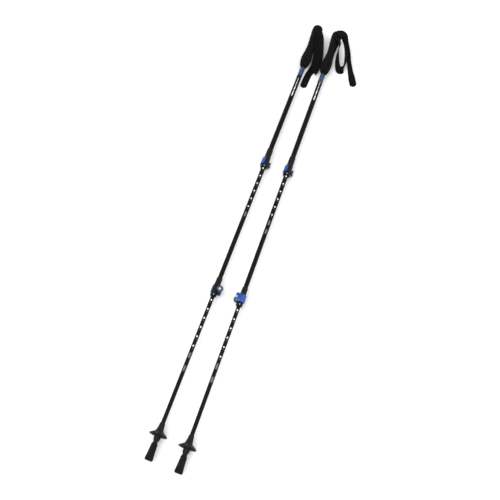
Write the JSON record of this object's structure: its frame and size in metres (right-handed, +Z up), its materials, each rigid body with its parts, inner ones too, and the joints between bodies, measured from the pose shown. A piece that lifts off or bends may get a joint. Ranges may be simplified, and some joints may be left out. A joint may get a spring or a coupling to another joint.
{
  "type": "trekking poles",
  "caption": "Pair of three-section telescopic trekking poles with lever locks, foam grips, wrist straps, baskets and rubber feet.",
  "frame": {"origin": "on the ground under the middle of the pair's overall box", "axes": "+Y runs from the feet to the heads of the poles, +Z is up from the ground that they lie on, +X is towards the right pole"},
  "size_m": [0.1928, 1.3549, 0.0468],
  "materials": {
    "black_tube": "satin",
    "grip_foam": "matte",
    "grip_rubber": "satin",
    "blue_band": "gloss",
    "dark_plastic": "satin",
    "steel": "satin",
    "webbing": "matte",
    "blue_lever": "gloss",
    "nut_plastic": "satin",
    "bush_plastic": "satin",
    "carbide": "satin",
    "basket_plastic": "satin",
    "foot_rubber": "matte"
  },
  "bodies": {
    "left_upper_section": {"left_upper_shaft": "black_tube", "left_grip_foam": "grip_foam", "left_grip_head": "grip_rubber", "left_grip_trim_ring": "blue_band", "left_strap_pin": "steel", "left_strap_anchor": "webbing", "left_upper_clamp_collar": "dark_plastic", "left_upper_lever_pin": "steel", "left_upper_tension_screw": "steel"},
    "left_middle_section": {"left_middle_shaft": "black_tube", "left_middle_guide_bush": "bush_plastic", "left_lower_clamp_collar": "dark_plastic", "left_lower_lever_pin": "steel", "left_lower_tension_screw": "steel"},
    "left_lower_section": {"left_lower_shaft": "black_tube", "left_lower_guide_bush": "bush_plastic", "left_flex_tip": "dark_plastic", "left_carbide_tip": "carbide"},
    "left_upper_lever": {"left_upper_lock_lever": "blue_lever"},
    "left_lower_lever": {"left_lower_lock_lever": "blue_lever"},
    "left_upper_nut": {"left_upper_thumb_nut": "nut_plastic"},
    "left_lower_nut": {"left_lower_thumb_nut": "nut_plastic"},
    "left_basket": {"left_basket": "basket_plastic"},
    "left_foot": {"left_rubber_foot": "foot_rubber"},
    "left_strap": {"left_strap_webbing": "webbing", "left_strap_tail": "webbing"},
    "left_wedge": {"left_strap_wedge": "dark_plastic"},
    "right_upper_section": {"right_upper_shaft": "black_tube", "right_grip_foam": "grip_foam", "right_grip_head": "grip_rubber", "right_grip_trim_ring": "blue_band", "right_strap_pin": "steel", "right_strap_anchor": "webbing", "right_upper_clamp_collar": "dark_plastic", "right_upper_lever_pin": "steel", "right_upper_tension_screw": "steel"},
    "right_middle_section": {"right_middle_shaft": "black_tube", "right_middle_guide_bush": "bush_plastic", "right_lower_clamp_collar": "dark_plastic", "right_lower_lever_pin": "steel", "right_lower_tension_screw": "steel"},
    "right_lower_section": {"right_lower_shaft": "black_tube", "right_lower_guide_bush": "bush_plastic", "right_flex_tip": "dark_plastic", "right_carbide_tip": "carbide"},
    "right_upper_lever": {"right_upper_lock_lever": "blue_lever"},
    "right_lower_lever": {"right_lower_lock_lever": "blue_lever"},
    "right_upper_nut": {"right_upper_thumb_nut": "nut_plastic"},
    "right_lower_nut": {"right_lower_thumb_nut": "nut_plastic"},
    "right_basket": {"right_basket": "basket_plastic"},
    "right_foot": {"right_rubber_foot": "foot_rubber"},
    "right_strap": {"right_strap_webbing": "webbing", "right_strap_tail": "webbing"},
    "right_wedge": {"right_strap_wedge": "dark_plastic"}
  },
  "joints": [
    {"name": "left_middle_slide", "type": "slide", "parent": "left_upper_section", "child": "left_middle_section", "axis": [0.0042, 1, 0], "range_m": [0, 0.342]},
    {"name": "left_lower_slide", "type": "slide", "parent": "left_middle_section", "child": "left_lower_section", "axis": [0.0042, 1, 0], "range_m": [0, 0.326]},
    {"name": "left_foot_pull", "type": "slide", "parent": "left_lower_section", "child": "left_foot", "axis": [-0.0042, -1, 0], "range_m": [0, 0.05]},
    {"name": "left_basket_screw", "type": "hinge", "parent": "left_lower_section", "child": "left_basket", "pos_m": [-0.07467, -0.6125, 0.0216], "axis": [0.0042, 1, 0], "range_deg": [0, 360]},
    {"name": "left_strap_swing", "type": "hinge", "parent": "left_upper_section", "child": "left_strap", "pos_m": [-0.0693, 0.65849, 0.0372], "axis": [-1, 0.0042, 0], "range_deg": [0, 45]},
    {"name": "left_wedge_release", "type": "slide", "parent": "left_upper_section", "child": "left_wedge", "axis": [0, 0, 1], "range_m": [0, 0.002]},
    {"name": "left_upper_lever_flip", "type": "hinge", "parent": "left_upper_section", "child": "left_upper_lever", "pos_m": [-0.0812, 0.16453, 0.0101], "axis": [-0.0042, -1, 0], "range_deg": [0, 105]},
    {"name": "left_upper_nut_turn", "type": "hinge", "parent": "left_upper_section", "child": "left_upper_nut", "pos_m": [-0.06303, 0.16446, 0.00915], "axis": [0.9986, -0.0042, -0.0523], "continuous": true},
    {"name": "left_lower_lever_flip", "type": "hinge", "parent": "left_middle_section", "child": "left_lower_lever", "pos_m": [-0.06107, -0.23356, 0.0124], "axis": [-0.0042, -1, 0], "range_deg": [0, 105]},
    {"name": "left_lower_nut_turn", "type": "hinge", "parent": "left_middle_section", "child": "left_lower_nut", "pos_m": [-0.06107, -0.23356, 0.0306], "axis": [0, 0, 1], "continuous": true},
    {"name": "right_middle_slide", "type": "slide", "parent": "right_upper_section", "child": "right_middle_section", "axis": [-0.0042, 1, 0], "range_m": [0, 0.342]},
    {"name": "right_lower_slide", "type": "slide", "parent": "right_middle_section", "child": "right_lower_section", "axis": [-0.0042, 1, 0], "range_m": [0, 0.326]},
    {"name": "right_foot_pull", "type": "slide", "parent": "right_lower_section", "child": "right_foot", "axis": [0.0042, -1, 0], "range_m": [0, 0.05]},
    {"name": "right_basket_screw", "type": "hinge", "parent": "right_lower_section", "child": "right_basket", "pos_m": [-0.00177, -0.6175, 0.0216], "axis": [-0.0042, 1, 0], "range_deg": [0, 360]},
    {"name": "right_strap_swing", "type": "hinge", "parent": "right_upper_section", "child": "right_strap", "pos_m": [-0.00714, 0.65349, 0.0372], "axis": [-1, -0.0042, 0], "range_deg": [0, 16]},
    {"name": "right_wedge_release", "type": "slide", "parent": "right_upper_section", "child": "right_wedge", "axis": [0, 0, 1], "range_m": [0, 0.002]},
    {"name": "right_upper_lever_flip", "type": "hinge", "parent": "right_upper_section", "child": "right_upper_lever", "pos_m": [-0.01425, 0.15945, 0.0096], "axis": [0.0042, -1, 0], "range_deg": [0, 105]},
    {"name": "right_upper_nut_turn", "type": "hinge", "parent": "right_upper_section", "child": "right_upper_nut", "pos_m": [0.00395, 0.15953, 0.0096], "axis": [1, 0.0042, 0], "continuous": true},
    {"name": "right_lower_lever_flip", "type": "hinge", "parent": "right_middle_section", "child": "right_lower_lever", "pos_m": [-0.01537, -0.23855, 0.0308], "axis": [0.0042, -1, 0], "range_deg": [0, 105]},
    {"name": "right_lower_nut_turn", "type": "hinge", "parent": "right_middle_section", "child": "right_lower_nut", "pos_m": [-0.01537, -0.23855, 0.0126], "axis": [0, 0, -1], "continuous": true},
    {"name": "right_pole_lift", "type": "slide", "parent": "left_upper_section", "child": "right_upper_section", "axis": [0, 0, 1], "range_m": [0, 0.3]}
  ]
}
